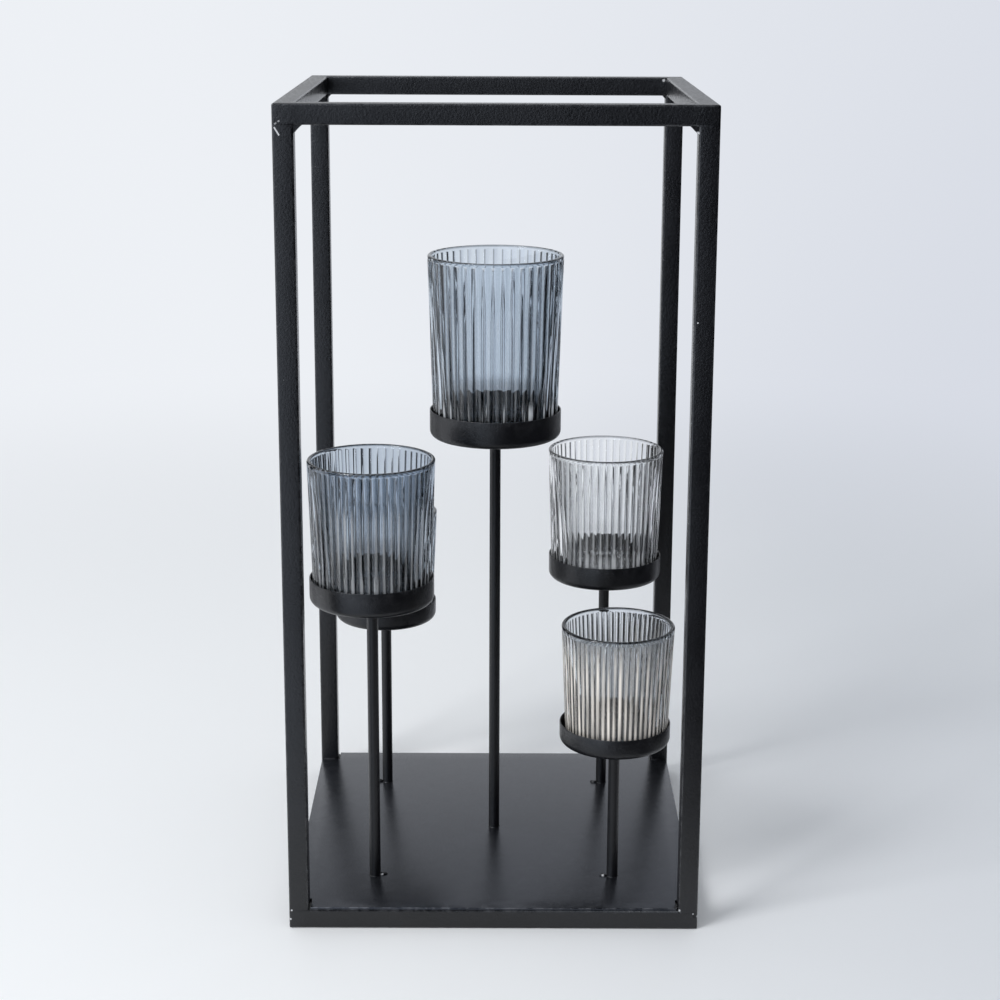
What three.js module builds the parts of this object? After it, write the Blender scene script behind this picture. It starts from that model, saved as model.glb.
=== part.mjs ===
import * as THREE from 'three';

// Votive candle rack: a welded cage of square tube with a sheet base, and five rods that each carry
// a shallow round tray with a ribbed glass cup standing loosely in it.
// Millimetres, +Z up, -Y is the front. The origin is on the floor, at the middle of the footprint.

// Cage of square tube
const frameWidth = 250;
const frameDepth = 250;
const frameHeight = 500;
const tubeSize = 12;
const tubeWall = 1.2;
const tubeEdgeRadius = 1.8;
const tubeBoreRadius = 0.6;

// Weld fillets in the corners under the top rails
const filletLeg = 5;
const filletHollowShare = 0.35;

// Base sheet, lying on the base rails and notched round the uprights
const plateThickness = 1.5;
const plateSetback = 0.5;
const plateNotchGap = 1;

// Rods, with a run of weld at both ends
const rodRadius = 3.5;
const rodWeldLeg = 1.2;

// Places of the stands: four on a rectangle and one in its middle, all set a little forward
const standSpacingX = 150;
const standSpacingY = 150;
const standShiftY = -3;

// Pressed trays
const traySheet = 0.8;

// Glass cups: the lip is smooth, the ribs start below it and fade into the foot
const lipWall = 2.6;
const lipRound = 0.9;
const lipBand = 3.2;
const ribFade = 1.2;
const ribDepthShare = 0.19;
const footWall = 4;
const footThickness = 7;
const footBevel = 3.7;
const footHeight = 3;
const floorBevel = 2;

// Three sizes of cup, and the tray that goes with each
const largeCup = { height: 115.5, rimRadius: 42.8, footRadius: 39.2, ribCount: 45, trayHeight: 17.6, clearance: 1.2 };
const mediumCup = { height: 89, rimRadius: 38.8, footRadius: 35.9, ribCount: 50, trayHeight: 16, clearance: 0.9 };
const smallCup = { height: 75.5, rimRadius: 34.8, footRadius: 31.5, ribCount: 60, trayHeight: 13.2, clearance: 1.5 };

// The play between a cup and its tray that is never used up
const leastPlay = 0.5;

// Rod lengths
const centerRodLength = 268.5;
const frontLeftRodLength = 182;
const backRightRodLength = 152;
const backLeftRodLength = 122;
const frontRightRodLength = 91;

// Facets
const tubeCornerSteps = 1;
const filletSteps = 3;
const rodSides = 16;
const traySides = 36;
const trayBendSteps = 2;
const ribSteps = 4;

// Stands: each cup stands off centre by a share of its play, to the right where it is positive
const stands = [
  { name: 'front_left', column: -1, row: -1, rodLength: frontLeftRodLength, cup: mediumCup, playShare: 0.7 },
  { name: 'front_right', column: 1, row: -1, rodLength: frontRightRodLength, cup: smallCup, playShare: 1 },
  { name: 'center', column: 0, row: 0, rodLength: centerRodLength, cup: largeCup, playShare: -0.2 },
  { name: 'back_left', column: -1, row: 1, rodLength: backLeftRodLength, cup: smallCup, playShare: 0.5 },
  { name: 'back_right', column: 1, row: 1, rodLength: backRightRodLength, cup: mediumCup, playShare: -0.7 },
];

const powderCoat = new THREE.MeshStandardMaterial({ color: 0x26272a, roughness: 0.55, metalness: 0.2 });
const weldCoat = new THREE.MeshStandardMaterial({ color: 0x222326, roughness: 0.6, metalness: 0.2 });
const sheetCoat = new THREE.MeshStandardMaterial({ color: 0x2c2d31, roughness: 0.5, metalness: 0.2 });
const smokedGlass = new THREE.MeshStandardMaterial({
  color: 0x8d99a6,
  roughness: 0.08,
  metalness: 0,
  transparent: true,
  opacity: 0.5,
});

function named(name, geometry, material) {
  const mesh = new THREE.Mesh(geometry, material);
  mesh.name = name;
  return mesh;
}

// Square tube: a rounded square outline with a rounded square bore, along +Z and centred
function roundedSquare(path, size, radius) {
  const flat = size / 2 - radius;
  path.absarc(flat, flat, radius, 0, Math.PI / 2);
  path.absarc(-flat, flat, radius, Math.PI / 2, Math.PI);
  path.absarc(-flat, -flat, radius, Math.PI, 3 * Math.PI / 2);
  path.absarc(flat, -flat, radius, 3 * Math.PI / 2, 2 * Math.PI);
  path.closePath();
  return path;
}

function squareTube(length) {
  const outline = roundedSquare(new THREE.Shape(), tubeSize, tubeEdgeRadius);
  outline.holes.push(roundedSquare(new THREE.Path(), tubeSize - 2 * tubeWall, tubeBoreRadius));
  const geometry = new THREE.ExtrudeGeometry(outline, {
    depth: length,
    bevelEnabled: false,
    curveSegments: tubeCornerSteps,
  });
  return geometry.translate(0, 0, -length / 2);
}

// A rail lies along X with its outer face towards -Y. At a mitred end each point slides back along
// the rail by its distance from the outer face.
function mitredRail(length) {
  const geometry = squareTube(length);
  const place = geometry.attributes.position;
  for (let i = 0; i < place.count; i += 1) {
    const end = Math.sign(place.getZ(i));
    const fromOuterFace = place.getY(i) + tubeSize / 2;
    place.setZ(i, end * (length / 2 - fromOuterFace));
  }
  geometry.rotateY(Math.PI / 2);
  geometry.computeVertexNormals();
  return geometry;
}

// The four sides of the cage in turn, seen from above: a quarter turn each
const sides = [
  { name: 'front', length: frameWidth, reach: frameDepth / 2 },
  { name: 'right', length: frameDepth, reach: frameWidth / 2 },
  { name: 'back', length: frameWidth, reach: frameDepth / 2 },
  { name: 'left', length: frameDepth, reach: frameWidth / 2 },
];

// The neighbours of each side, at the start and the end of its rail
const cornerNames = {
  front: ['left', 'right'],
  right: ['front', 'back'],
  back: ['right', 'left'],
  left: ['back', 'front'],
};

function turnedSide(index) {
  const side = new THREE.Group();
  side.rotation.z = index * Math.PI / 2;
  return side;
}

function railRing(prefix, bottom) {
  const ring = new THREE.Group();
  sides.forEach((side, index) => {
    const turned = turnedSide(index);
    const rail = named(`${prefix}_${side.name}`, mitredRail(side.length), powderCoat);
    rail.position.set(0, tubeSize / 2 - side.reach, bottom + tubeSize / 2);
    turned.add(rail);
    ring.add(turned);
  });
  return ring;
}

function uprights() {
  const group = new THREE.Group();
  const length = frameHeight - 2 * tubeSize;
  for (const [depthName, depthSign] of [['front', -1], ['back', 1]]) {
    for (const [widthName, widthSign] of [['left', -1], ['right', 1]]) {
      const upright = named(`upright_${depthName}_${widthName}`, squareTube(length), powderCoat);
      upright.position.set(
        widthSign * (frameWidth - tubeSize) / 2,
        depthSign * (frameDepth - tubeSize) / 2,
        frameHeight / 2,
      );
      group.add(upright);
    }
  }
  return group;
}

// A fillet fills the corner between a rail's underside and an upright's inner face: its section has
// the corner at the origin, one leg along +X and one leg down.
function weldFillet() {
  const section = new THREE.Shape();
  section.moveTo(0, 0);
  section.lineTo(0, -filletLeg);
  section.quadraticCurveTo(filletHollowShare * filletLeg, -filletHollowShare * filletLeg, filletLeg, 0);
  section.closePath();
  const run = tubeSize - 2 * tubeEdgeRadius;
  const geometry = new THREE.ExtrudeGeometry(section, {
    depth: run,
    bevelEnabled: false,
    curveSegments: filletSteps,
  });
  geometry.translate(0, 0, -run / 2);
  return geometry.rotateX(Math.PI / 2);
}

function weldFillets() {
  const group = new THREE.Group();
  sides.forEach((side, index) => {
    const turned = turnedSide(index);
    cornerNames[side.name].forEach((corner, end) => {
      const fillet = named(`weld_${side.name}_${corner}`, weldFillet(), weldCoat);
      const direction = end === 0 ? -1 : 1;
      fillet.position.set(
        direction * (side.length / 2 - tubeSize),
        tubeSize / 2 - side.reach,
        frameHeight - tubeSize,
      );
      fillet.rotation.z = end * Math.PI;
      turned.add(fillet);
    });
    group.add(turned);
  });
  return group;
}

// Base sheet with a square notch at each upright
function basePlate() {
  const edgeX = frameWidth / 2 - plateSetback;
  const edgeY = frameDepth / 2 - plateSetback;
  const notchX = frameWidth / 2 - tubeSize - plateNotchGap;
  const notchY = frameDepth / 2 - tubeSize - plateNotchGap;
  const outline = new THREE.Shape();
  outline.moveTo(-notchX, -edgeY);
  outline.lineTo(notchX, -edgeY);
  outline.lineTo(notchX, -notchY);
  outline.lineTo(edgeX, -notchY);
  outline.lineTo(edgeX, notchY);
  outline.lineTo(notchX, notchY);
  outline.lineTo(notchX, edgeY);
  outline.lineTo(-notchX, edgeY);
  outline.lineTo(-notchX, notchY);
  outline.lineTo(-edgeX, notchY);
  outline.lineTo(-edgeX, -notchY);
  outline.lineTo(-notchX, -notchY);
  outline.closePath();
  const geometry = new THREE.ExtrudeGeometry(outline, { depth: plateThickness, bevelEnabled: false });
  const plate = named('base_plate', geometry, sheetCoat);
  plate.position.z = tubeSize;
  return plate;
}

// A turned piece: a profile of [radius, height] points from the axis back to the axis
function turned(profile, sideCount) {
  const points = profile.map(([radius, height]) => new THREE.Vector2(radius, height));
  return new THREE.LatheGeometry(points, sideCount).rotateX(Math.PI / 2);
}

function rod(length) {
  return turned([
    [0, 0],
    [rodRadius + rodWeldLeg, 0],
    [rodRadius, rodWeldLeg],
    [rodRadius, length - rodWeldLeg],
    [rodRadius + rodWeldLeg, length],
    [0, length],
  ], rodSides);
}

// The bend between a tray's floor and its wall, as profile points from the floor up
function bend(radius, floorRadius, floorHeight) {
  const points = [];
  for (let step = 0; step <= trayBendSteps; step += 1) {
    const angle = step / trayBendSteps * Math.PI / 2;
    points.push([
      floorRadius + radius * Math.sin(angle),
      floorHeight + radius * (1 - Math.cos(angle)),
    ]);
  }
  return points;
}

// Radius of a cup's ribs at a height above its foot
function cupRadius(cup, height) {
  return cup.footRadius + (cup.rimRadius - cup.footRadius) * height / cup.height;
}

// A tray's bore clears the cup where the cup passes the tray's rim
function trayBore(cup) {
  return cupRadius(cup, cup.trayHeight - traySheet) + cup.clearance;
}

function tray(cup) {
  const floorRadius = trayBore(cup) - footBevel;
  return turned([
    [0, 0],
    ...bend(footBevel + traySheet, floorRadius, 0),
    [trayBore(cup) + traySheet, cup.trayHeight],
    [trayBore(cup), cup.trayHeight],
    ...bend(footBevel, floorRadius, traySheet).reverse(),
    [0, traySheet],
  ], traySides);
}

// One level of a cup: points round the axis, each pulled in from the radius by `pull(index)`
function level(count, radius, height, pull = () => 0) {
  return Array.from({ length: count }, (unused, index) => {
    const angle = 2 * Math.PI * index / count;
    const reach = radius - pull(index);
    return [reach * Math.cos(angle), reach * Math.sin(angle), height];
  });
}

// Joins levels into one closed skin. Neighbouring levels may have different numbers of points: the
// seam between them steps along whichever level's next edge comes first round the axis.
function skin(levels) {
  const vertices = levels.flat(2);
  const index = [];
  let start = 0;
  for (let i = 0; i + 1 < levels.length; i += 1) {
    const lower = levels[i].length;
    const upper = levels[i + 1].length;
    const next = start + lower;
    let a = 0;
    let b = 0;
    while (a < lower || b < upper) {
      const stepLower = (a + 0.5) / lower < (b + 0.5) / upper;
      if (stepLower) {
        if (lower > 1) index.push(start + a, start + (a + 1) % lower, next + b % upper);
        a += 1;
      } else {
        if (upper > 1) index.push(start + a % lower, next + (b + 1) % upper, next + b);
        b += 1;
      }
    }
    start = next;
  }
  const geometry = new THREE.BufferGeometry();
  geometry.setAttribute('position', new THREE.Float32BufferAttribute(vertices, 3));
  geometry.setIndex(index);
  geometry.computeVertexNormals();
  return geometry;
}

// A ribbed cup, from the middle of its underside, up the outside, over the lip and down the inside
function glassCup(cup) {
  const ribPitch = 2 * Math.PI * cup.rimRadius / cup.ribCount;
  const ribDepth = ribDepthShare * ribPitch;
  const ribs = (index) => ribDepth * (1 - Math.sin(Math.PI * (index % ribSteps) / ribSteps));
  const ribPoints = cup.ribCount * ribSteps;
  const ribTop = cup.height - lipBand;
  const innerFoot = cup.footRadius - footWall;
  const lipMiddle = cup.rimRadius - lipWall / 2;
  return skin([
    level(1, 0, 0),
    level(cup.ribCount, cup.footRadius - footBevel, 0),
    level(ribPoints, cupRadius(cup, footHeight), footHeight, ribs),
    level(ribPoints, cupRadius(cup, ribTop), ribTop, ribs),
    level(cup.ribCount, cupRadius(cup, ribTop + ribFade), ribTop + ribFade),
    level(cup.ribCount, cupRadius(cup, cup.height - lipRound), cup.height - lipRound),
    level(cup.ribCount, lipMiddle, cup.height),
    level(cup.ribCount, cup.rimRadius - lipWall, cup.height - lipRound),
    level(cup.ribCount, innerFoot, footThickness + floorBevel),
    level(cup.ribCount, innerFoot - floorBevel, footThickness),
    level(1, 0, footThickness),
  ]);
}

function candleStand(stand) {
  const group = new THREE.Group();
  group.position.set(
    stand.column * standSpacingX / 2,
    stand.row * standSpacingY / 2 + standShiftY,
    tubeSize + plateThickness,
  );
  group.add(named(`rod_${stand.name}`, rod(stand.rodLength), powderCoat));
  const trayMesh = named(`tray_${stand.name}`, tray(stand.cup), powderCoat);
  trayMesh.position.z = stand.rodLength;
  group.add(trayMesh);
  const cupMesh = named(`glass_cup_${stand.name}`, glassCup(stand.cup), smokedGlass);
  cupMesh.position.set(
    stand.playShare * (stand.cup.clearance - leastPlay),
    0,
    stand.rodLength + traySheet,
  );
  group.add(cupMesh);
  return group;
}

const rack = new THREE.Group();
rack.add(railRing('base_rail', 0));
rack.add(uprights());
rack.add(railRing('top_rail', frameHeight - tubeSize));
rack.add(weldFillets());
rack.add(basePlate());
stands.forEach((stand) => rack.add(candleStand(stand)));

export default rack;
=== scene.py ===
import math
import random

import bmesh
import bpy
from mathutils import Matrix, Vector, noise


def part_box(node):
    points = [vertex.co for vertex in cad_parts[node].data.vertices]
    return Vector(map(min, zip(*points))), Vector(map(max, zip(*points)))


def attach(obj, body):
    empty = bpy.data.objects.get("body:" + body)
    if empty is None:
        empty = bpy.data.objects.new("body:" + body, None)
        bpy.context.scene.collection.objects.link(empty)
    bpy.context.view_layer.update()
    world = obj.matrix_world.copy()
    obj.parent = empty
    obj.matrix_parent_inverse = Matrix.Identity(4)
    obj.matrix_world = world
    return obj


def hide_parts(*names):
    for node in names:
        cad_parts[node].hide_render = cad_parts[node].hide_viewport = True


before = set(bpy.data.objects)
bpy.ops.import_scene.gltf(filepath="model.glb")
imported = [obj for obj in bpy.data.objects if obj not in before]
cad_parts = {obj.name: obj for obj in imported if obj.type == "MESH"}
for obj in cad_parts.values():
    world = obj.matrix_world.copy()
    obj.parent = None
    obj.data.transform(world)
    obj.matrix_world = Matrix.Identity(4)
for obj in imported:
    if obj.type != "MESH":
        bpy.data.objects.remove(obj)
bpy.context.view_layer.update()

mm = 0.001
fullTurn = 2 * math.pi
mergeGap = 1e-4  # in mm: nearer than this, vertices are merged, or lie on a cut
near = 1e-3  # in mm: slack for comparing places
facing = 0.9  # a normal with more than this share along an axis faces along it
chance = random.Random(11)  # seeded, so that each run draws the same
scene = bpy.context.scene
scene.view_settings.view_transform = "Standard"


# A value in a node tree. Arithmetic on it adds Math nodes.
class Signal:
    def __init__(self, shading, socket):
        self.shading = shading
        self.socket = socket

    def math(self, operation, *values):
        return self.shading.add("ShaderNodeMath", {"operation": operation}, dict(enumerate(values)))

    def vector(self, operation, *values, output="Vector"):
        inputs = dict(enumerate((self, *values)))
        return self.shading.add("ShaderNodeVectorMath", {"operation": operation}, inputs, output)

    def __add__(self, other):
        return self.math("ADD", self, other)

    def __radd__(self, other):
        return self.math("ADD", other, self)

    def __sub__(self, other):
        return self.math("SUBTRACT", self, other)

    def __rsub__(self, other):
        return self.math("SUBTRACT", other, self)

    def __mul__(self, other):
        return self.math("MULTIPLY", self, other)

    def __rmul__(self, other):
        return self.math("MULTIPLY", other, self)

    def __lt__(self, other):
        return self.math("LESS_THAN", self, other)

    def __gt__(self, other):
        return self.math("GREATER_THAN", self, other)

    def __abs__(self):
        return self.math("ABSOLUTE", self)

    def most(self, other):
        return self.math("MAXIMUM", self, other)

    def rise(self, low, high):  # 0 below low, 1 above high, smooth between
        settings = {"interpolation_type": "SMOOTHSTEP"}
        inputs = {"Value": self, "From Min": low, "From Max": high}
        return self.shading.add("ShaderNodeMapRange", settings, inputs)


# The node tree of a material or a world, emptied and written anew
class Shading:
    def __init__(self, owner):
        owner.use_nodes = True
        self.tree = owner.node_tree
        self.tree.nodes.clear()

    def add(self, kind, settings=None, inputs=None, output=0):
        node = self.tree.nodes.new(kind)
        for key, value in (settings or {}).items():
            setattr(node, key, value)
        for key, value in (inputs or {}).items():
            if isinstance(value, Signal):
                self.tree.links.new(value.socket, node.inputs[key])
            else:
                node.inputs[key].default_value = value
        return Signal(self, node.outputs[output]) if node.outputs else None

    def place(self):
        return self.add("ShaderNodeTexCoord", output="Object")

    def ray(self, kind):
        return self.add("ShaderNodeLightPath", output=kind)

    def axes(self, vector):
        return [self.add("ShaderNodeSeparateXYZ", inputs={0: vector}, output=axis) for axis in "XYZ"]

    def grain(self, vector, size, detail=2.0, roughness=0.5):
        inputs = {"Vector": vector, "Scale": 1 / size, "Detail": detail, "Roughness": roughness}
        return self.add("ShaderNodeTexNoise", inputs=inputs)

    def blend(self, share, first, second):
        first, second = [c if isinstance(c, Signal) else (*c, 1) for c in (first, second)]
        return self.add("ShaderNodeMix", {"data_type": "RGBA"}, {0: share, 6: first, 7: second}, output=2)

    def spot(self, vector, centre, radius, core):  # 1 in the core of a small ball, 0 outside it
        gap = vector.vector("DISTANCE", centre, output="Value")
        return 1 - gap.rise(core * radius, radius)

    def bump(self, height, depth):
        return self.add("ShaderNodeBump", inputs={"Distance": depth, "Height": height})

    def finish(self, shader, kind="ShaderNodeOutputMaterial", **others):
        self.add(kind, inputs={"Surface": shader, **others})


# Coats: a satin powder coat with a fine peel, paler where it is rubbed along edges; on the base sheet the
# pale edge is a painted highlight along its rounded edges. Sizes are in metres, and a turn is the range of
# the noise over which one colour gives way to the other.
powderLook = {
    "dark": (0.0035, 0.0037, 0.0048), "pale": (0.0070, 0.0073, 0.0092),
    "mottle": 0.05, "mottleTurn": (0.3, 0.7),
    "worn": (0.120, 0.122, 0.130), "wearAndHighlightShare": 0.3,
    "wearAndHighlightSize": 0.006, "wearAndHighlightTurn": (0.38, 0.66), "wearAndHighlightPolish": 0.08,
    "dust": (0.30, 0.30, 0.32), "dustSize": 0.0021, "dustFrom": 0.86, "dustEdge": 0.02, "dustShare": 0.35,
    "roughness": 0.30, "roughnessSpread": 0.10, "grainSpread": 0.10, "specular": 0.36, "tint": (1, 1, 1),
    "gloss": 0.12, "glossRoughness": 0.12,
    "peel": 0.0014, "peelDepth": 0.00020, "grain": 0.0005, "grainShare": 0.8,
    "settled": 0, "settledSize": 0.0012, "settledColour": (0.075, 0.074, 0.072),
    "settledFacing": (0.9, 0.99), "settledTurn": (0.3, 0.7), "settledRoughness": 0.6,
}
cageLook = {**powderLook, "roughness": 0.28, "specular": 0.48, "settled": 0.4}
sheetLook = {
    **powderLook,
    "dark": (0.0060, 0.0064, 0.0080), "pale": (0.0100, 0.0108, 0.0135), "mottle": 0.09,
    "dustFrom": 0.84,
    "roughness": 0.27, "roughnessSpread": 0.06, "specular": 0.48, "tint": (0.74, 0.82, 1), "gloss": 0,
    # on the sheet the pale edge colour is a painted highlight along the rounded edges, not wear
    "worn": (0.34, 0.35, 0.38), "wearAndHighlightShare": 0.8,
    "peel": 0.0022, "peelDepth": 0.00003,
}
weldLook = {
    **powderLook,
    "dark": (0.003, 0.003, 0.004), "pale": (0.009, 0.009, 0.011), "mottle": 0.004,
    "roughness": 0.34, "roughnessSpread": 0.2,
    "peel": 0.0011, "peelDepth": 0.00012,
}
# Weld on the cage, in metres: strokes by start and end (x, z) and paleness, pits and glint spots by centre
# and radius. The strokes and glint spots are painted highlights, near-white on the weld and tacks.
weldMarks = {
    "cageHalf": (0.119, 0.119, 0.244), "cageMiddle": (0, 0, 0.25),
    "zoneInner": 0.007, "zoneOuter": 0.0125, "groundSize": 0.0026, "groundDepth": 0.00022,
    "frontFace": -0.1225, "strokeWidth": 0.00062, "strokeCore": 0.3, "strokeHeight": 0.9,
    "strokes": (((-0.1236, 0.4868), (-0.1208, 0.4822), 1.0), ((-0.1234, 0.4884), (-0.1222, 0.4893), 0.45),
                ((-0.1215, 0.4898), (-0.1204, 0.4903), 0.5)),
    "pits": (((0.1232, -0.125, 0.0093), 0.0017), ((0.1141, -0.125, 0.0116), 0.0011),
             ((-0.1246, -0.1247, 0.0104), 0.0015), ((-0.1248, -0.1247, 0.0083), 0.0014)),
    "glintSpots": (((0.1246, -0.1244, 0.0086), 0.0008), ((0.1222, -0.125, 0.0103), 0.0006),
               ((0.1138, -0.125, 0.0125), 0.0010), ((-0.1234, -0.125, 0.0118), 0.0008),
               ((-0.1242, -0.125, 0.0060), 0.0009), ((0.1114, 0.113, 0.4982), 0.0013),
               ((-0.0706, -0.0789, 0.0142), 0.0012), ((0.0690, -0.0797, 0.0142), 0.0012),
               ((0.1152, -0.125, 0.3772), 0.0006), ((0.1125, -0.1242, 0.4843), 0.0013)),
    # near-white colour and share of the painted highlights on the weld
    "spotCore": 0.35, "colour": (0.75, 0.76, 0.79), "share": 0.8,
    "pitColour": (0.002, 0.002, 0.003), "pitDepth": 1.5,
}


def coat(name, look, marks=None):
    material = bpy.data.materials.new(name)
    s = Shading(material)
    place = s.place()
    mottle = s.grain(place, look["mottle"], detail=4, roughness=0.6)
    peel = s.grain(place, look["peel"])
    grain = s.grain(place, look["grain"], detail=1)
    wearAndHighlightMask = s.add("ShaderNodeAttribute", {"attribute_name": "edgeWearAndHighlight"}, output="Fac")
    worn = wearAndHighlightMask * s.grain(place, look["wearAndHighlightSize"], detail=3, roughness=0.7).rise(*look["wearAndHighlightTurn"])
    dust = s.grain(place, look["dustSize"], detail=1, roughness=0.4)
    dust = dust.rise(look["dustFrom"], look["dustFrom"] + look["dustEdge"])

    colour = s.blend(mottle.rise(*look["mottleTurn"]), look["dark"], look["pale"])
    # paler along edges: rubbed wear on the tubes, rods and trays, and a painted highlight on the base sheet
    colour = s.blend(worn * look["wearAndHighlightShare"], colour, look["worn"])
    colour = s.blend(dust * look["dustShare"], colour, look["dust"])
    # grit that has settled on faces that look up
    upward = s.axes(s.add("ShaderNodeNewGeometry", output="Normal"))[2].rise(*look["settledFacing"])
    settled = s.grain(place, look["settledSize"], roughness=0.6).rise(*look["settledTurn"])
    settled = upward * settled * look["settled"]
    colour = s.blend(settled, colour, look["settledColour"])
    roughness = look["roughness"] + (mottle - 0.5) * look["roughnessSpread"]
    roughness = roughness + (grain - 0.5) * look["grainSpread"]
    roughness = roughness - worn * look["wearAndHighlightPolish"] + settled * look["settledRoughness"]
    normal = s.bump(peel + grain * look["grainShare"], look["peelDepth"])

    if marks:
        # ground weld round each corner of the cage, where the tubes meet
        folded = place.vector("SUBTRACT", marks["cageMiddle"]).vector("ABSOLUTE")
        gap = folded.vector("DISTANCE", marks["cageHalf"], output="Value")
        zone = 1 - gap.rise(marks["zoneInner"], marks["zoneOuter"])
        ground = s.grain(place, marks["groundSize"], roughness=0.6) * zone
        # short strokes of weld on the front, at the top of an upright, raised and painted near-white as a
        # highlight
        onFront = s.axes(place)[1] < marks["frontFace"]
        stroke = onFront * 0
        for (startX, startZ), (endX, endZ), paleness in marks["strokes"]:
            run = Vector((endX - startX, 0, endZ - startZ))
            ahead = run.normalized()
            fromStart = place.vector("SUBTRACT", (startX, 0, startZ))
            along = fromStart.vector("DOT_PRODUCT", ahead, output="Value")
            off = abs(fromStart.vector("DOT_PRODUCT", (ahead.z, 0, -ahead.x), output="Value"))
            line = 1 - off.rise(marks["strokeCore"] * marks["strokeWidth"], marks["strokeWidth"])
            stroke = stroke.most(line * (along > 0) * (along < run.length) * onFront * paleness)
        core = marks["spotCore"]
        pit, *otherPits = [s.spot(place, centre, radius, core) for centre, radius in marks["pits"]]
        for other in otherPits:
            pit = pit.most(other)
        # painted highlights: the strokes and glint spots take a near-white colour
        glint = stroke
        for centre, radius in marks["glintSpots"]:
            glint = glint.most(s.spot(place, centre, radius, core))
        colour = s.blend(pit, colour, marks["pitColour"])
        colour = s.blend(glint * marks["share"], colour, marks["colour"])
        height = ground + stroke * marks["strokeHeight"] - pit * marks["pitDepth"]
        lower = s.bump(height, marks["groundDepth"])
        s.tree.links.new(lower.socket, normal.socket.node.inputs["Normal"])

    s.finish(s.add("ShaderNodeBsdfPrincipled", inputs={
        "Base Color": colour, "Roughness": roughness, "Normal": normal,
        "Specular IOR Level": look["specular"], "Specular Tint": (*look["tint"], 1),
        "Coat Weight": look["gloss"], "Coat Roughness": look["glossRoughness"]}))
    return material


# Smoked glass: clear, with a blue-grey colour that deepens with the length of glass looked through.
# A pale bloom lies on the ridges of the ribs, heavy on one small cup, and on the clear cups it is a painted
# highlight along the crests. Dark lines in the valleys are painted shade. Faint streaks run down the ribs.
# The lip and the zone above the foot are painted darker as painted shade, with painted glints low down.
smokedLook = {
    "skin": (0.83, 0.88, 0.93), "streaked": (0.78, 0.84, 0.90), "streakedTurn": (0.35, 0.7), "ior": 1.5,
    "depthColour": (0.50, 0.60, 0.675), "depthDensity": 39,
    "bloomAndHighlight": (0.80, 0.83, 0.87), "bloomAndHighlightShare": 0.15, "bloomAndHighlightStart": 0.8, "bloomAndHighlightRoughness": 0.5,
    "bloomAndHighlightLeast": 0.3, "bloomAndHighlightStreaks": (0.3, 0.7),
    "streakSize": 0.0022, "streakLength": 0.12, "streakDepth": 0.000008,
    "valley": (0.16, 0.18, 0.21), "valleyShadeShare": 0.32, "valleyShadeTurn": (0.5, 0.95),
    "lip": (0.05, 0.055, 0.065), "lipShadeShare": 0.75, "lipZone": (0.0006, 0.0016),
    "low": (0.08, 0.085, 0.095), "lowShadeShare": 0.5, "lowZone": (0.020, 0.030),
    "lowGlint": 0.7, "lowGlintRidge": (0.45, 0.7), "lowGlintStreaks": (0.52, 0.62),
    "lineShade": (0.012, 0.013, 0.016), "lineShadeShare": 0.32, "lineShadeTurn": (0.72, 0.92),
    "lineShadeLeast": 0.4, "lineShadeStreaks": (0.35, 0.6),
    "top": (0.5, 0.57, 0.66), "topShare": 0, "topZone": (0.012, 0.045),
}
# duskLook and paleLook are darker and paler copies of the one smoked glass for two cups of the same size:
# painted shade and painted light for the darker and brighter surroundings seen through each. deepLook is a
# darker copy, and bloomLook carries the heavy bloom.
duskLook = {
    **smokedLook, "skin": (0.84, 0.88, 0.92), "streaked": (0.76, 0.81, 0.86), "topShare": 0.55,
    "bloomAndHighlightShare": 0.26, "bloomAndHighlight": (0.88, 0.90, 0.93), "bloomAndHighlightStart": 0.75, "lineShadeShare": 0.45, "lowGlint": 0.3,
}
deepLook = {**smokedLook, "skin": (0.70, 0.76, 0.82), "streaked": (0.63, 0.69, 0.75), "bloomAndHighlightShare": 0.12}
paleLook = {
    **smokedLook, "skin": (0.99, 1.0, 1.0), "streaked": (0.98, 0.99, 1.0), "depthDensity": 1.5,
    "bloomAndHighlightShare": 0.30, "bloomAndHighlight": (0.92, 0.93, 0.95), "bloomAndHighlightStart": 0.7, "valleyShadeShare": 0.05,
    "lineShadeShare": 0.25, "lowShadeShare": 0.08, "lowGlint": 0.5,
}
bloomLook = {
    **smokedLook, "skin": (0.90, 0.92, 0.94), "streaked": (0.84, 0.86, 0.88),
    "bloomAndHighlightShare": 0.80, "bloomAndHighlightStart": 0.35, "bloomAndHighlight": (0.88, 0.82, 0.75),
    "valleyShadeShare": 0.7, "lipShadeShare": 0.95, "lowShadeShare": 0, "lowGlint": 0, "lineShadeShare": 0.85,
}
# What each vertex of a cup carries: crest and valley of a rib from 0 to 1, and metres from foot and rim
cupLayers = ("ridge", "valley", "fromFoot", "fromRim")


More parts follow.
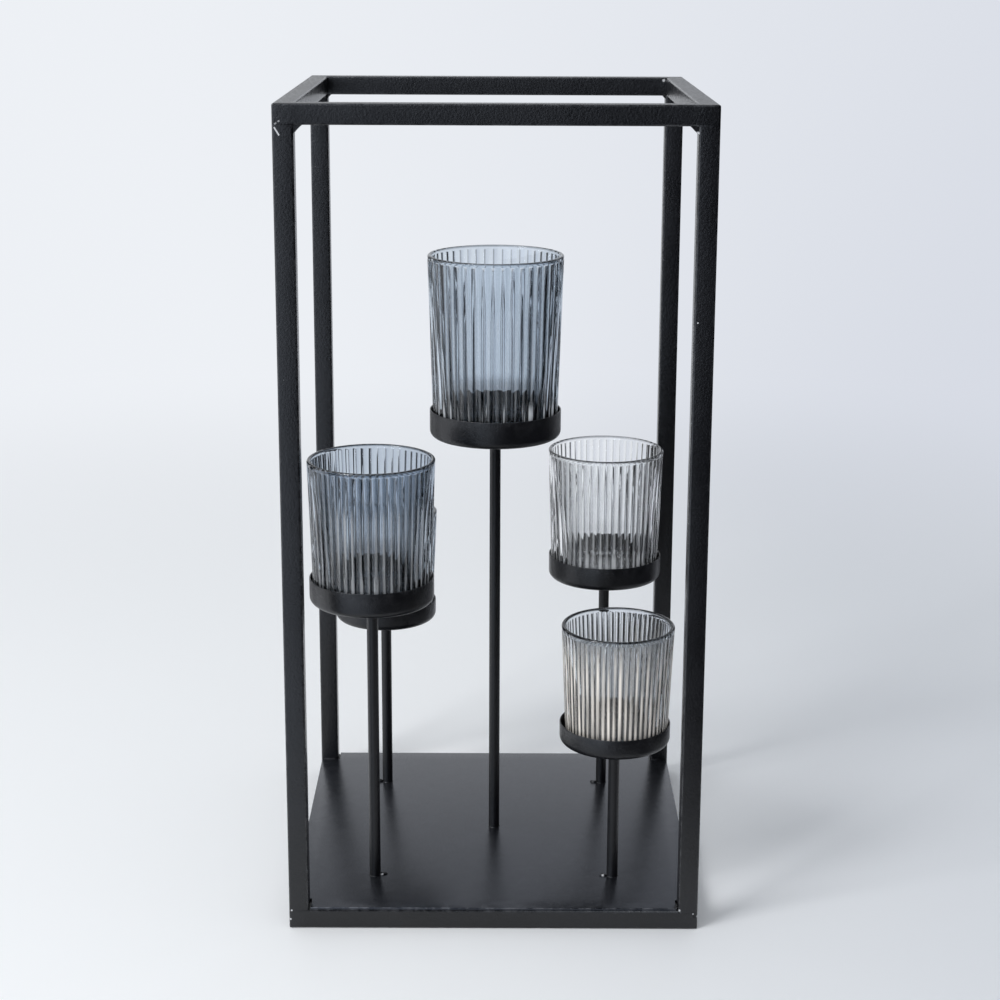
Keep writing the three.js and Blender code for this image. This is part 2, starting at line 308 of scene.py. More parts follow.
def pressedGlass(name, look):
    material = bpy.data.materials.new(name)
    s = Shading(material)
    stretched = s.place().vector("MULTIPLY", (1, 1, look["streakSize"] / look["streakLength"]))
    streaks = s.grain(stretched, look["streakSize"], detail=1)
    ridge, valley, fromFoot, fromRim = [
        s.add("ShaderNodeAttribute", {"attribute_name": layer}, output="Fac") for layer in cupLayers]
    low = 1 - fromFoot.rise(*look["lowZone"])
    skin = s.blend(streaks.rise(*look["streakedTurn"]), look["skin"], look["streaked"])
    # painted shade: the glass is tinted darker in the rib valleys
    skin = s.blend(valley.rise(*look["valleyShadeTurn"]) * look["valleyShadeShare"], skin, look["valley"])
    # painted shade: the glass is tinted darker in the zone above the foot
    skin = s.blend(low * look["lowShadeShare"], skin, look["low"])
    skin = s.blend((1 - fromRim.rise(*look["topZone"])) * look["topShare"], skin, look["top"])
    # painted shade: the inside of the lip is tinted dark
    skin = s.blend((1 - fromRim.rise(*look["lipZone"])) * look["lipShadeShare"], skin, look["lip"])
    clear = s.add("ShaderNodeBsdfPrincipled", inputs={
        "Base Color": skin, "Roughness": 0.0, "IOR": look["ior"], "Transmission Weight": 1.0,
        "Normal": s.bump(streaks, look["streakDepth"])})
    # painted shade: near-black lines in the rib valleys, laid on the pale layer
    lineShade = valley.rise(*look["lineShadeTurn"])
    # a pale diffuse layer: milky bloom on one small cup, and on the clear cups a painted highlight along the
    # rib crests
    bloomAndHighlight = s.add("ShaderNodeBsdfPrincipled", inputs={
        "Base Color": s.blend(lineShade, look["bloomAndHighlight"], look["lineShade"]), "Roughness": look["bloomAndHighlightRoughness"]})
    crestBloomAndHighlight = ridge.rise(look["bloomAndHighlightStart"], 1) * (look["bloomAndHighlightLeast"] + streaks.rise(*look["bloomAndHighlightStreaks"]))
    # painted glints: pale lines on the rib ridges low down
    lowGlint = ridge.rise(*look["lowGlintRidge"]) * low * streaks.rise(*look["lowGlintStreaks"])
    lines = lineShade * (look["lineShadeLeast"] + streaks.rise(*look["lineShadeStreaks"]))
    share = (crestBloomAndHighlight * look["bloomAndHighlightShare"]).most(lowGlint * look["lowGlint"]).most(lines * look["lineShadeShare"])
    depth = s.add("ShaderNodeVolumeAbsorption", inputs={
        "Color": (*look["depthColour"], 1), "Density": look["depthDensity"]})
    s.finish(s.add("ShaderNodeMixShader", inputs={0: share, 1: clear, 2: bloomAndHighlight}), Volume=depth)
    return material


powderCoat = coat("powderCoat", powderLook)
cageCoat = coat("cageCoat", cageLook, weldMarks)
sheetCoat = coat("sheetCoat", sheetLook)
weldCoat = coat("weldCoat", weldLook, weldMarks)
glasses = {
    "center": pressedGlass("smokedGlass", smokedLook),
    "front_left": pressedGlass("duskGlass", duskLook),
    "back_left": pressedGlass("deepGlass", deepLook),
    "back_right": pressedGlass("paleGlass", paleLook),
    "front_right": pressedGlass("bloomGlass", bloomLook),
}
print("materials written")


# Turns a bmesh in millimetres into a finished piece on its body
def finishPiece(bm, name, material, body, nodes=(), sharpAngle=40):
    bmesh.ops.remove_doubles(bm, verts=bm.verts, dist=mergeGap)
    bmesh.ops.recalc_face_normals(bm, faces=bm.faces)
    bmesh.ops.scale(bm, vec=(mm, mm, mm), verts=bm.verts)
    mesh = bpy.data.meshes.new(name)
    bm.to_mesh(mesh)
    bm.free()
    mesh.materials.append(material)
    mesh.polygons.foreach_set("use_smooth", [True] * len(mesh.polygons))
    mesh.set_sharp_from_angle(angle=math.radians(sharpAngle))
    piece = bpy.data.objects.new(name, mesh)
    scene.collection.objects.link(piece)
    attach(piece, body)
    if nodes:
        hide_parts(*nodes)


def wearAndHighlightLayer(bm):
    return bm.verts.layers.float.get("edgeWearAndHighlight") or bm.verts.layers.float.new("edgeWearAndHighlight")


# Spins a profile of (radius, height) points round the Z axis, one sector that is then repeated
def lathe(profile, steps, sectors=4):
    bm = bmesh.new()
    verts = [bm.verts.new((radius, 0, height)) for radius, height in profile]
    edges = [bm.edges.new(pair) for pair in zip(verts, verts[1:])]
    bmesh.ops.spin(bm, geom=verts + edges, cent=(0, 0, 0), axis=(0, 0, 1),
                   angle=fullTurn / sectors, steps=steps // sectors, use_merge=False)
    sector = bm.verts[:] + bm.edges[:] + bm.faces[:]
    for turn in range(1, sectors):
        copy = bmesh.ops.duplicate(bm, geom=sector)["geom"]
        bmesh.ops.rotate(bm, cent=(0, 0, 0), matrix=Matrix.Rotation(turn * fullTurn / sectors, 3, "Z"),
                         verts=[v for v in copy if isinstance(v, bmesh.types.BMVert)])
    bmesh.ops.remove_doubles(bm, verts=bm.verts, dist=mergeGap)
    return bm


# Turns a bmesh about an axis through the origin
def turnAbout(bm, angle, axis="Z"):
    bmesh.ops.rotate(bm, cent=(0, 0, 0), matrix=Matrix.Rotation(angle, 3, axis), verts=bm.verts)


# Points of an arc from one angle to another, in degrees, both ends included
def arc(centre, radii, start, end, steps):
    angles = [math.radians(start + (end - start) * i / steps) for i in range(steps + 1)]
    return [(centre[0] + radii[0] * math.cos(a), centre[1] + radii[1] * math.sin(a)) for a in angles]


# Cage of square tube. Shapes are written in millimetres.
cage = {
    "width": 250, "depth": 250, "height": 500, "tube": 12, "wall": 1.2,
    "cornerRadius": 1.3, "cornerSegments": 6, "groundSteps": 4,
    "seamDepth": 0.03, "seamWidth": 0.4, "flushRun": 0.4,
}


# A tube along X. Each end gets loops at the given distances from it, and sinks a little in a seam.
def squareTube(length, endLoops):
    size, radius = cage["tube"], cage["cornerRadius"]
    bm = bmesh.new()
    bmesh.ops.create_cube(bm, size=1, matrix=Matrix.Diagonal((length, size, size, 1)))
    longEdges = [e for e in bm.edges if abs(e.verts[0].co.x - e.verts[1].co.x) > size]
    bmesh.ops.bevel(bm, geom=longEdges, offset=radius, segments=cage["cornerSegments"],
                    profile=0.5, affect="EDGES", material=-1)
    bm.normal_update()
    ends = [f for f in bm.faces if abs(f.normal.x) > facing]
    bmesh.ops.delete(bm, geom=ends, context="FACES_ONLY")
    for inset in endLoops:
        for side in (-1, 1):
            everything = bm.verts[:] + bm.edges[:] + bm.faces[:]
            bmesh.ops.bisect_plane(bm, geom=everything, dist=mergeGap, plane_no=(1, 0, 0),
                                   plane_co=(side * (length / 2 - inset), 0, 0))
    wearAndHighlightMask = wearAndHighlightLayer(bm)
    flat = size / 2 - radius
    for v in bm.verts:
        y, z = v.co.y, v.co.z
        across = Vector((0, y - max(-flat, min(flat, y)), z - max(-flat, min(flat, z))))
        v[wearAndHighlightMask] = abs(math.sin(2 * math.atan2(abs(across.z), abs(across.y)))) if across.length else 0
        if abs(v.co.x) > length / 2 - near:
            v.co -= across.normalized() * cage["seamDepth"]
    bm.normal_update()
    bmesh.ops.solidify(bm, geom=bm.faces[:], thickness=cage["wall"])
    return bm


# Grinds the upright edge at each corner of the cage to the tube's own corner radius
def groundCorners(bm):
    radius = cage["cornerRadius"]
    for v in bm.verts:
        past = Vector((abs(v.co.x) - cage["width"] / 2 + radius, abs(v.co.y) - cage["depth"] / 2 + radius))
        if past.x > 0 and past.y > 0 and past.length > radius:
            back = past.normalized() * radius - past
            v.co.x += math.copysign(1, v.co.x) * back.x
            v.co.y += math.copysign(1, v.co.y) * back.y


# Fills a rail's outer edge flush where an upright meets it. The edge is above or below: +1 or -1.
def fillFlush(bm, length, edge):
    size = cage["tube"]
    flat = size / 2 - cage["cornerRadius"] - near
    wearAndHighlightMask = wearAndHighlightLayer(bm)
    for v in bm.verts:
        if abs(v.co.x) > length / 2 - size - near and v.co.y < -flat and v.co.z * edge > flat:
            if v.co.z * edge > size / 2 - near:
                v.co.z = edge * size / 2
            v.co.y = -size / 2
            v[wearAndHighlightMask] = 0


def buildRails(prefix, label, bottom):
    size, radius, steps = cage["tube"], cage["cornerRadius"], cage["groundSteps"]
    # loops within the corner radius, which give the grinding points to move
    loops = [radius * (1 - math.tan(math.radians(45 * i / steps))) for i in range(steps)]
    for index, side in enumerate(("front", "right", "back", "left")):
        length = cage["depth"] if index % 2 else cage["width"]
        reach = (cage["width"] if index % 2 else cage["depth"]) / 2
        bm = squareTube(length, loops + [cage["seamWidth"], size, size + cage["flushRun"]])
        fillFlush(bm, length, -1 if bottom else 1)
        for v in bm.verts:  # the mitre: a point slides back by its distance from the outer face
            v.co.x -= math.copysign(v.co.y + size / 2, v.co.x)
        bmesh.ops.translate(bm, vec=(0, size / 2 - reach, bottom + size / 2), verts=bm.verts)
        turnAbout(bm, index * fullTurn / 4)
        groundCorners(bm)
        finishPiece(bm, label + side.capitalize(), cageCoat, "rack", [f"{prefix}_{side}"])


def buildUprights():
    size = cage["tube"]
    for depthName, depthSign in (("front", -1), ("back", 1)):
        for widthName, widthSign in (("left", -1), ("right", 1)):
            bm = squareTube(cage["height"] - 2 * size, [cage["seamWidth"]])
            turnAbout(bm, fullTurn / 4, "Y")
            bmesh.ops.translate(bm, verts=bm.verts, vec=(
                widthSign * (cage["width"] - size) / 2,
                depthSign * (cage["depth"] - size) / 2, cage["height"] / 2))
            name = f"{depthName}_{widthName}"
            finishPiece(bm, "upright" + depthName.capitalize() + widthName.capitalize(), cageCoat,
                        "rack", ["upright_" + name])


buildRails("base_rail", "baseRail", 0)
buildRails("top_rail", "topRail", cage["height"] - cage["tube"])
buildUprights()
print("cage built")


# Weld fillets under the top rails, and small beads and tacks elsewhere
fillet = {
    "leg": 5, "backShare": 0.5, "rows": 10, "bowSteps": 8, "hollow": 0.45, "run": 9.6,
    "ripple": 0.14, "ripplePace": 2.1, "roughSize": 1.7, "rough": 0.34,
    "sink": 0.25, "still": 0.6, "shiftSpan": 50,
}
corners = {
    "front": ("left", "right"), "right": ("front", "back"),
    "back": ("right", "left"), "left": ("back", "front"),
}


def buildFillets():
    run = fillet["run"]
    for index, (side, ends) in enumerate(corners.items()):
        length = cage["depth"] if index % 2 else cage["width"]
        reach = (cage["width"] if index % 2 else cage["depth"]) / 2
        for end, corner in enumerate(ends):
            leg = fillet["leg"] * (fillet["backShare"] if "back" in (side, corner) else 1)
            bm = bmesh.new()
            bow = [(leg * (1 - t) ** 2 + 2 * t * (1 - t) * leg * fillet["hollow"],
                    -leg * t ** 2 - 2 * t * (1 - t) * leg * fillet["hollow"])
                   for t in [i / fillet["bowSteps"] for i in range(fillet["bowSteps"] + 1)]]
            section = [bm.verts.new((x, -run / 2, z)) for x, z in [(0, 0)] + bow]
            face = bm.faces.new(section)
            for row in range(fillet["rows"]):
                step = bmesh.ops.extrude_face_region(bm, geom=[face])
                face = next(f for f in step["geom"] if isinstance(f, bmesh.types.BMFace))
                bmesh.ops.translate(bm, vec=(0, run / fillet["rows"], 0), verts=face.verts)
            inner = [f for f in bm.faces  # the sections between the two ends
                     if abs(f.normal.y) > facing and abs(f.calc_center_median().y) < run / 2 - near]
            bmesh.ops.delete(bm, geom=inner, context="FACES_ONLY")
            shift = chance.uniform(0, fillet["shiftSpan"])
            for v in bm.verts:
                past = Vector((v.co.x, 0, v.co.z))
                if past.length > fillet["still"]:
                    wave = math.sin(v.co.y * fillet["ripplePace"] + shift) * fillet["ripple"]
                    rough = noise.noise((v.co + Vector((shift, 0, 0))) / fillet["roughSize"])
                    v.co += past.normalized() * (wave + rough * fillet["rough"] - fillet["sink"])
                    v.co.x = max(0, v.co.x)
                    v.co.z = min(0, v.co.z)
            turnAbout(bm, end * fullTurn / 2)
            place = ((1 if end else -1) * (length / 2 - cage["tube"]),
                     cage["tube"] / 2 - reach, cage["height"] - cage["tube"])
            bmesh.ops.translate(bm, vec=place, verts=bm.verts)
            turnAbout(bm, index * fullTurn / 4)
            wearAndHighlightLayer(bm)
            finishPiece(bm, "weld" + side.capitalize() + corner.capitalize(), weldCoat, "rack",
                        [f"weld_{side}_{corner}"], sharpAngle=60)


buildFillets()

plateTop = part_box("base_plate")[1].z / mm

# Lumps of weld: place on the plate or rail, radii, turn about Z in degrees
lumps = {
    "weldTackFrontLeft": ((-69.9, -77.6, 13.5), (2.4, 1.3, 1.3), 12),
    "weldTackFrontRight": ((69.6, -78.4, 13.5), (2.7, 1.3, 1.2), -10),
    "weldTackBackLeft": ((-80.2, 71.6, 13.5), (2.2, 1.3, 1.4), 20),
    "weldTackBackRight": ((70.0, 71.6, 13.5), (2.6, 1.3, 1.2), -16),
    "weldTackCornerRight": ((112.2, -122.6, 13.2), (1.0, 1.5, 1.1), 0),
    "weldBeadBackLeft": ((-118.6, 112.6, 13.4), (4.7, 0.8, 0.8), 0),
    "weldBeadBackRight": ((118.6, 112.6, 13.4), (4.7, 0.8, 0.8), 0),
    "weldSpatterTopBack": ((112.4, 114.4, 499.2), (0.9, 0.9, 0.7), 30),
}
# Each layer of a lump's roughness has a share of the radius and a pace
lumpShape = {"subdivisions": 4, "shiftSpan": 40, "rough": ((0.34, 1.3), (0.10, 4))}


def buildLumps():
    for name, (centre, size, turn) in lumps.items():
        bm = bmesh.new()
        bmesh.ops.create_icosphere(bm, subdivisions=lumpShape["subdivisions"], radius=1)
        shift = Vector((chance.uniform(0, lumpShape["shiftSpan"]), 0, 0))
        for v in bm.verts:
            v.co *= 1 + sum(share * noise.noise(v.co * pace + shift) for share, pace in lumpShape["rough"])
        bmesh.ops.scale(bm, vec=size, verts=bm.verts)
        turnAbout(bm, math.radians(turn))
        bmesh.ops.translate(bm, vec=centre, verts=bm.verts)
        wearAndHighlightLayer(bm)
        finishPiece(bm, name, weldCoat, "rack", sharpAngle=80)


buildLumps()
print("welds built")

# Base sheet with a square notch at each upright
sheet = {
    "thickness": 1.5, "setback": 0.5, "notchGap": 1,
    "edge": 0.4, "edgeSegments": 3, "edgeAngle": 1, "highlightTurn": 0.25,
}


def buildSheet():
    edge = cage["width"] / 2 - sheet["setback"]
    notch = cage["width"] / 2 - cage["tube"] - sheet["notchGap"]
    quarter = [(-edge, -notch), (-notch, -notch), (-notch, -edge)]
    bm = bmesh.new()
    bottom = plateTop - sheet["thickness"]
    outline = []
    for turn in range(4):
        spun = Matrix.Rotation(turn * fullTurn / 4, 2)
        outline += [bm.verts.new((*(spun @ Vector(p)), bottom)) for p in quarter]
    face = bm.faces.new(outline)
    raised = bmesh.ops.extrude_face_region(bm, geom=[face])["geom"]
    bmesh.ops.translate(bm, vec=(0, 0, sheet["thickness"]),
                        verts=[v for v in raised if isinstance(v, bmesh.types.BMVert)])
    bmesh.ops.recalc_face_normals(bm, faces=bm.faces)
    rim = [e for e in bm.edges if len(e.link_faces) == 2 and e.calc_face_angle() > sheet["edgeAngle"]]
    bmesh.ops.bevel(bm, geom=rim, offset=sheet["edge"], segments=sheet["edgeSegments"],
                    profile=0.5, affect="EDGES", material=-1)
    bm.normal_update()
    wearAndHighlightMask = wearAndHighlightLayer(bm)
    # the edge mask marks the rounded edges, which the sheet coat paints pale as a painted highlight
    for v in bm.verts:
        v[wearAndHighlightMask] = min(1, (1 - max(abs(n) for n in v.normal)) / sheet["highlightTurn"])
    finishPiece(bm, "basePlate", sheetCoat, "rack", ["base_plate"])


buildSheet()

# Stands: a rod with a run of weld at both ends, a shallow pressed tray and a ribbed cup that stands in it
rodShape = {
    "radius": 3.5, "weldLeg": 0.5, "collarSteps": 5, "sides": 48,
    "roughSize": 0.9, "rough": 0.15, "roughLegShare": 0.95, "roughRadiusShare": 0.9, "shiftSpan": 90,
}
trayShape = {
    "sheet": 0.8, "bend": 3.7, "bendSteps": 8, "rim": 0.3, "rimSteps": 3, "sides": 144,
    "flatShare": 0.6, "wearShare": 1.6,
}
# A ring point under the foot has its gap to the bevel and its height, the inner one as a share of the hollow
cupShape = {
    "lipWall": 2.6, "lipHeight": 1.15, "lipSteps": 8, "scallopSteps": 7, "ribsPerSector": 5,
    "ribDepthShare": 0.15, "ribSteps": 12, "ribSlack": 0.1, "ribReach": 1.5, "ribStart": 0.2,
    "runOutRidge": 0.5, "footWall": 4, "footThickness": 7, "footBevel": 3.7, "footHeight": 3,
    "footSteps": 5, "wallStart": 1, "floorRound": 3, "floorSteps": 5, "floorShare": 0.5,
    "hollow": 0.7, "hollowShare": 0.5, "ringInner": (4, 0.8), "ringEdge": (2, 0.15), "ringTip": (0.6, 0.02),
}
largeCup = {
    "lipBand": 2.0, "scallop": 1.1, "height": 115.5, "rim": 42.8, "foot": 39.2, "ribs": 45, "phase": 0.5,
    "trayHeight": 17.6, "clearance": 1.2,
}
mediumCup = {
    "lipBand": 2.0, "scallop": 1.1, "height": 89, "rim": 38.8, "foot": 35.9, "ribs": 50, "phase": 0.0,
    "trayHeight": 16, "clearance": 0.9,
}
smallCup = {
    "lipBand": 2.6, "scallop": 1.0, "height": 75.5, "rim": 34.8, "foot": 31.5, "ribs": 60, "phase": 0.5,
    "trayHeight": 13.2, "clearance": 1.5,
}
stands = {
    "front_left": mediumCup, "front_right": smallCup, "center": largeCup,
    "back_left": smallCup, "back_right": mediumCup,
}


def buildRod(label, node):
    low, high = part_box(node)
    middle, length = (low + high) / 2 / mm, (high.z - low.z) / mm
    radius, leg, steps = rodShape["radius"], rodShape["weldLeg"], rodShape["collarSteps"]
    angles = [fullTurn / 4 * i / steps for i in range(steps + 1)]
    collar = [(radius + leg * (1 - math.sin(a)), leg * (1 - math.cos(a))) for a in angles]
    profile = [(0, 0)] + collar + [(r, length - z) for r, z in reversed(collar)] + [(0, length)]
    bm = lathe(profile, rodShape["sides"])
    shift = Vector((chance.uniform(0, rodShape["shiftSpan"]), 0, 0))
    for v in bm.verts:
        fromEnd = min(v.co.z, length - v.co.z)
        reach = math.hypot(v.co.x, v.co.y)
        if fromEnd < rodShape["roughLegShare"] * leg and reach > rodShape["roughRadiusShare"] * radius:
            rough = noise.noise(v.co / rodShape["roughSize"] + shift)
            push = rodShape["rough"] * rough * (reach - radius) / leg
            v.co.x += push * v.co.x / reach
            v.co.y += push * v.co.y / reach
    wearAndHighlightLayer(bm)
    bmesh.ops.translate(bm, vec=(middle.x, middle.y, low.z / mm), verts=bm.verts)
    finishPiece(bm, label, powderCoat, "rack", [node])


# Radius over the ribs at a height above the foot
def ribRadius(cup, height):
    return cup["foot"] + (cup["rim"] - cup["foot"]) * height / cup["height"]


def buildTray(label, node, cup):
    low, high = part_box(node)
    middle, height = (low + high) / 2 / mm, cup["trayHeight"]
    thick, bend, rim = trayShape["sheet"], trayShape["bend"], trayShape["rim"]
    bore = ribRadius(cup, height - thick) + cup["clearance"]
    flat, steps, rimSteps = bore - bend, trayShape["bendSteps"], trayShape["rimSteps"]
    profile = [(0, 0), (trayShape["flatShare"] * flat, 0)]
    profile += arc((flat, bend + thick), (bend + thick, bend + thick), -90, 0, steps)
    profile += arc((bore + thick - rim, height - rim), (rim, rim), 0, 90, rimSteps)
    profile += arc((bore + rim, height - rim), (rim, rim), 90, 180, rimSteps)
    profile += arc((flat, bend + thick), (bend, bend), 0, -90, steps)
    profile += [(trayShape["flatShare"] * flat, thick), (0, thick)]
    bm = lathe(profile, trayShape["sides"])
    wearAndHighlightMask = wearAndHighlightLayer(bm)
    for v in bm.verts:
        fromRim = height - v.co.z
        v[wearAndHighlightMask] = max(0, 1 - fromRim / (trayShape["wearShare"] * rim))
    bmesh.ops.translate(bm, vec=(middle.x, middle.y, low.z / mm), verts=bm.verts)
    finishPiece(bm, label, powderCoat, "rack", [node], sharpAngle=50)


def buildCup(label, node, cup, glass, body):
    low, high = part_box(node)
    middle, shape = (low + high) / 2 / mm, cupShape
    height, rim, foot = cup["height"], cup["rim"], cup["foot"]
    ribTop = height - cup["lipBand"]
    innerFoot, bevel = foot - shape["footWall"], shape["footBevel"]
    lipHalf = shape["lipWall"] / 2
    lipStart = height - shape["lipHeight"]
    innerGap, innerShare = shape["ringInner"]
    profile = [(0, shape["hollow"]), (shape["hollowShare"] * foot, shape["hollow"]),
               (foot - bevel - innerGap, innerShare * shape["hollow"])]
    profile += [(foot - bevel - gap, z) for gap, z in (shape["ringEdge"], shape["ringTip"])]
    footHeight = shape["footHeight"]
    profile += arc((foot - bevel, footHeight), (bevel, footHeight), -90, 0, shape["footSteps"])
    for z in (footHeight + shape["wallStart"], height / 3, 2 * height / 3):
        profile.append((ribRadius(cup, z), z))
    for i in range(shape["scallopSteps"] + 1):
        z = ribTop - cup["scallop"] * (1 - math.sin(fullTurn / 4 * i / shape["scallopSteps"]))
        profile.append((ribRadius(cup, z), z))
    profile += arc((rim - lipHalf, lipStart), (lipHalf, shape["lipHeight"]), 0, 180, shape["lipSteps"])
    level, bend = shape["footThickness"], shape["floorRound"]
    profile += arc((innerFoot - bend, level + bend), (bend, bend), 0, -90, shape["floorSteps"])
    profile += [(shape["floorShare"] * innerFoot, level), (0, level)]
    bm = lathe(profile, cup["ribs"] * shape["ribSteps"], cup["ribs"] // shape["ribsPerSector"])
    depth = shape["ribDepthShare"] * fullTurn * rim / cup["ribs"]
    for layer in cupLayers:
        bm.verts.layers.float.new(layer)
    ridge, valley, fromFoot, fromRim = [bm.verts.layers.float[layer] for layer in cupLayers]
    for v in bm.verts:
        reach, z = math.hypot(v.co.x, v.co.y), v.co.z
        v[fromFoot], v[fromRim] = z * mm, (height - z) * mm
        outer = ribRadius(cup, z)
        # the smooth band, the underside and the inside carry no ribs
        if z >= ribTop or reach < foot - bevel + shape["ribSlack"] or reach < outer - bevel:
            continue
        if reach < outer - shape["ribReach"] and z > footHeight:
            continue
        turn = math.atan2(v.co.y, v.co.x) / fullTurn * cup["ribs"] + cup["phase"]
        pull = depth * (1 - abs(math.sin(math.pi * turn)))
        above = (z - ribTop + cup["scallop"]) / cup["scallop"]
        if above > 0:  # the smooth band runs out over the ribs in a fillet, which scallops its edge
            pull = min(pull, depth * (1 - math.sqrt(max(0, 1 - (1 - above) ** 2))))
        pull *= min(1, max(0, (z - shape["ribStart"]) / (footHeight - shape["ribStart"])))
        v[ridge] = 1 - pull / depth if above <= 0 else shape["runOutRidge"] * (1 - above)
        v[valley] = pull / depth
        v.co.x *= (reach - pull) / reach
        v.co.y *= (reach - pull) / reach
    bmesh.ops.translate(bm, vec=(middle.x, middle.y, low.z / mm), verts=bm.verts)
    finishPiece(bm, label, glass, body, [node], sharpAngle=120)


for stand, cup in stands.items():
    label = "".join(word.capitalize() for word in stand.split("_"))
    buildRod("rod" + label, "rod_" + stand)
    buildTray("tray" + label, "tray_" + stand, cup)
    buildCup("glassCup" + label, "glass_cup_" + stand, cup, glasses[stand], "cup_" + stand)
print("stands built")

# Studio: a pale floor that runs out into a pale backdrop, one soft lamp from the front left.
# Gloss on the coat also shows a room in front: bright to the left, dark to the right. What is far off has its
# turns across, from -1 at the left to 1 at the right, and each strip has its middle and half width across, on
# both sides. The floor has its turn and its fades in metres.
studio = {
    "backdropLeft": (0.85, 0.875, 0.915), "backdropRight": (0.68, 0.71, 0.78), "backdropTurn": (-0.25, 0.45),
    "roomLeft": (1.35, 1.50, 1.74), "roomRight": (0.006, 0.006, 0.012), "roomTurn": (-0.30, 0.04),
    "roomStart": (0.25, -0.15), "roomSkew": 0.3, "roomFloor": 0.6,
    "sideLight": (1.3, 1.34, 1.42), "sideLightTurn": (-0.86, -0.97),
    "strips": ((0.51, 0.115), (0.892, 0.108)), "stripEdge": 0.02, "stripColour": (0.006, 0.006, 0.008),
    "floorRadius": 40.0, "floorSides": 128, "floorInset": 0.9, "floorRoughness": 0.8, "floorSpecular": 0.2,
    "cameraFade": (0.5, 1.6), "glossFade": (0.18, 0.48),
    "floorLeft": (0.96, 0.97, 0.985), "floorRight": (0.80, 0.82, 0.86), "floorTurn": (-0.1, 0.4),
    "domeLeft": (0.73, 0.755, 0.78), "domeRight": (0.46, 0.475, 0.49), "domeTurn": (-0.6, 0.8),
    "lampPlace": (-1.5, -1.25, 1.75), "lampAim": (0, 0, 0.2), "lampSize": 0.9, "lampPower": 28,
}


# Colour seen far off in a direction. Everything sees the backdrop. Gloss sees the room in front too, with a
# broad light at the left. Gloss and glass see black strips, which stand between the four sides and the four
# corners, so that glass looks through to the backdrop from each of them.
def surroundings(s, vector, roomShare=1.0):
    flat = vector.vector("MULTIPLY", (1, 1, 0)).vector("NORMALIZE")
    side, ahead, _ = s.axes(flat)
    backdrop = s.blend(side.rise(*studio["backdropTurn"]), studio["backdropLeft"], studio["backdropRight"])
    room = s.blend(side.rise(*studio["roomTurn"]), studio["roomLeft"], studio["roomRight"])
    room = s.blend(roomShare, (0, 0, 0), room)
    striped = backdrop
    for middle, half in studio["strips"]:
        strip = 1 - abs(abs(side) - middle).rise(half - studio["stripEdge"], half + studio["stripEdge"])
        striped = s.blend(strip, striped, studio["stripColour"])
    roomNear, roomFar = studio["roomStart"]
    inFront = 1 - (ahead - side * studio["roomSkew"]).rise(roomFar, roomNear)
    gloss = s.blend(inFront, striped, room)
    sideStart, sideEnd = studio["sideLightTurn"]
    gloss = s.blend(1 - side.rise(sideEnd, sideStart), gloss, studio["sideLight"])
    return s.blend(s.ray("Is Transmission Ray"), s.blend(s.ray("Is Glossy Ray"), backdrop, gloss), striped)


def buildWorld():
    world = bpy.data.worlds.new("studioDome")
    scene.world = world
    s = Shading(world)
    dome = s.blend(s.axes(s.place())[0].rise(*studio["domeTurn"]), studio["domeLeft"], studio["domeRight"])
    straight = s.ray("Is Camera Ray").most(s.ray("Is Glossy Ray")).most(s.ray("Is Transmission Ray"))
    colour = s.blend(straight, dome, surroundings(s, s.place()))
    background = s.add("ShaderNodeBackground", inputs={"Color": colour, "Strength": 1.0})
    s.finish(background, "ShaderNodeOutputWorld")


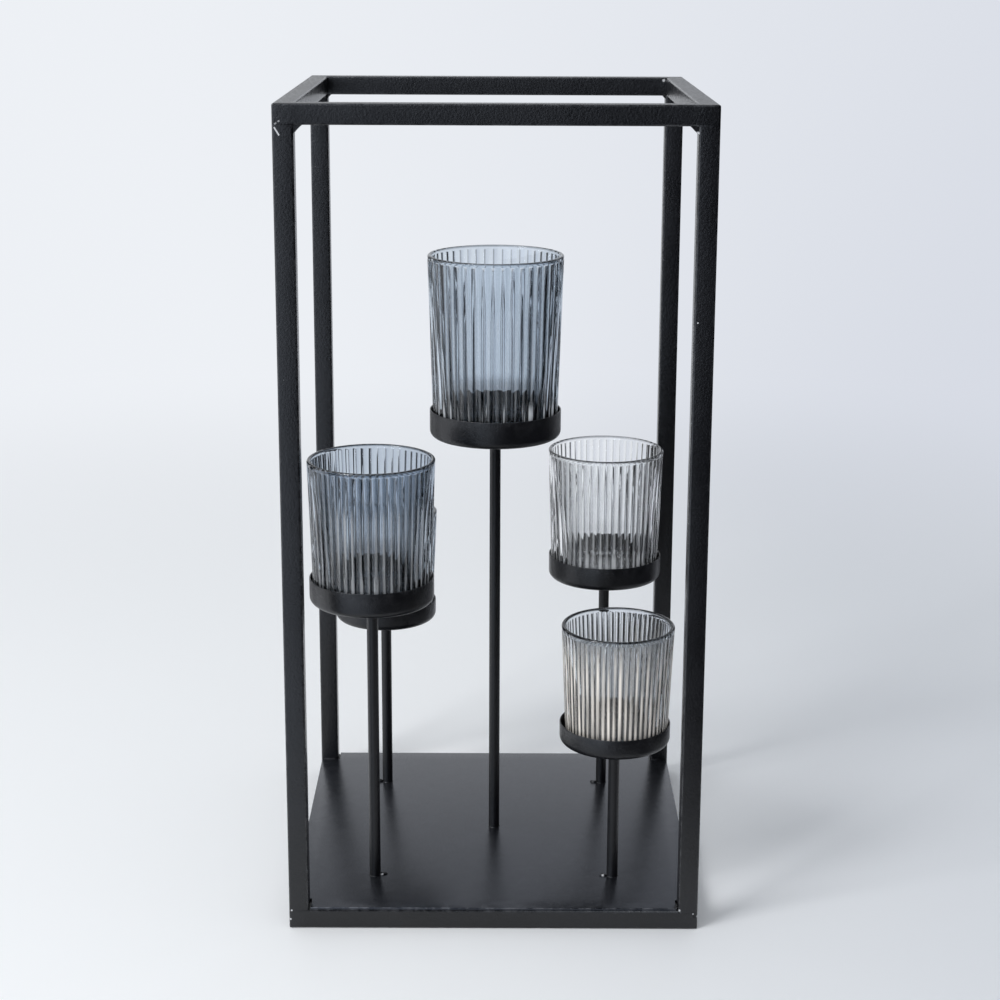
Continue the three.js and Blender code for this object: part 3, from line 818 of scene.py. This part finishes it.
def buildFloor():
    bm = bmesh.new()
    bmesh.ops.create_circle(bm, cap_ends=True, segments=studio["floorSides"], radius=studio["floorRadius"])
    bmesh.ops.inset_region(bm, faces=bm.faces[:], thickness=studio["floorRadius"] * studio["floorInset"])
    mesh = bpy.data.meshes.new("studioFloor")
    bm.to_mesh(mesh)
    bm.free()
    floor = bpy.data.objects.new("studioFloor", mesh)
    scene.collection.objects.link(floor)
    material = bpy.data.materials.new("studioPaper")
    s = Shading(material)
    place = s.place()
    reach = place.vector("LENGTH", output="Value")
    glossy = s.ray("Is Glossy Ray").most(s.ray("Is Transmission Ray"))
    away = s.ray("Is Camera Ray") * reach.rise(*studio["cameraFade"])
    away = away + glossy * reach.rise(*studio["glossFade"])
    # painted shade: the paper is coloured darker towards the right, as the light falls off
    shade = s.blend(s.axes(place)[0].rise(*studio["floorTurn"]), studio["floorLeft"], studio["floorRight"])
    paper = s.add("ShaderNodeBsdfPrincipled", inputs={
        "Base Color": shade, "Roughness": studio["floorRoughness"],
        "Specular IOR Level": studio["floorSpecular"]})
    farOff = surroundings(s, place, studio["roomFloor"])
    glow = s.add("ShaderNodeEmission", inputs={"Color": farOff, "Strength": 1.0})
    s.finish(s.add("ShaderNodeMixShader", inputs={0: away, 1: paper, 2: glow}))
    mesh.materials.append(material)


def buildLamp():
    lamp = bpy.data.lights.new("softbox", "AREA")
    lamp.shape = "SQUARE"
    lamp.size = studio["lampSize"]
    lamp.energy = studio["lampPower"]
    holder = bpy.data.objects.new("softbox", lamp)
    scene.collection.objects.link(holder)
    place = Vector(studio["lampPlace"])
    holder.location = place
    holder.rotation_euler = (Vector(studio["lampAim"]) - place).to_track_quat("-Z", "Y").to_euler()


buildWorld()
buildFloor()
buildLamp()

# Camera, solved from the corners of the cage in the photograph. Its place is in millimetres and its focal
# length in pixels.
cameraSet = {
    "place": (1.505, -1280.285, 586.52), "yaw": -0.0012, "pitch": 0.2436, "roll": -0.0041,
    "focal": 2058.75, "picture": 1000, "sensor": 36, "shiftY": -0.045, "clipNear": 0.05, "clipFar": 100,
}


def buildCamera():
    data = bpy.data.cameras.new("photoCamera")
    data.sensor_width = cameraSet["sensor"]
    data.lens = cameraSet["focal"] * cameraSet["sensor"] / cameraSet["picture"]
    data.shift_y = cameraSet["shiftY"]
    data.clip_start = cameraSet["clipNear"]
    data.clip_end = cameraSet["clipFar"]
    camera = bpy.data.objects.new("photoCamera", data)
    scene.collection.objects.link(camera)
    turn = Matrix.Rotation(cameraSet["yaw"], 4, "Z")
    turn = turn @ Matrix.Rotation(fullTurn / 4 - cameraSet["pitch"], 4, "X")
    turn = turn @ Matrix.Rotation(-cameraSet["roll"], 4, "Z")
    camera.matrix_world = Matrix.Translation(Vector(cameraSet["place"]) * mm) @ turn
    scene.camera = camera


buildCamera()
print("studio built")
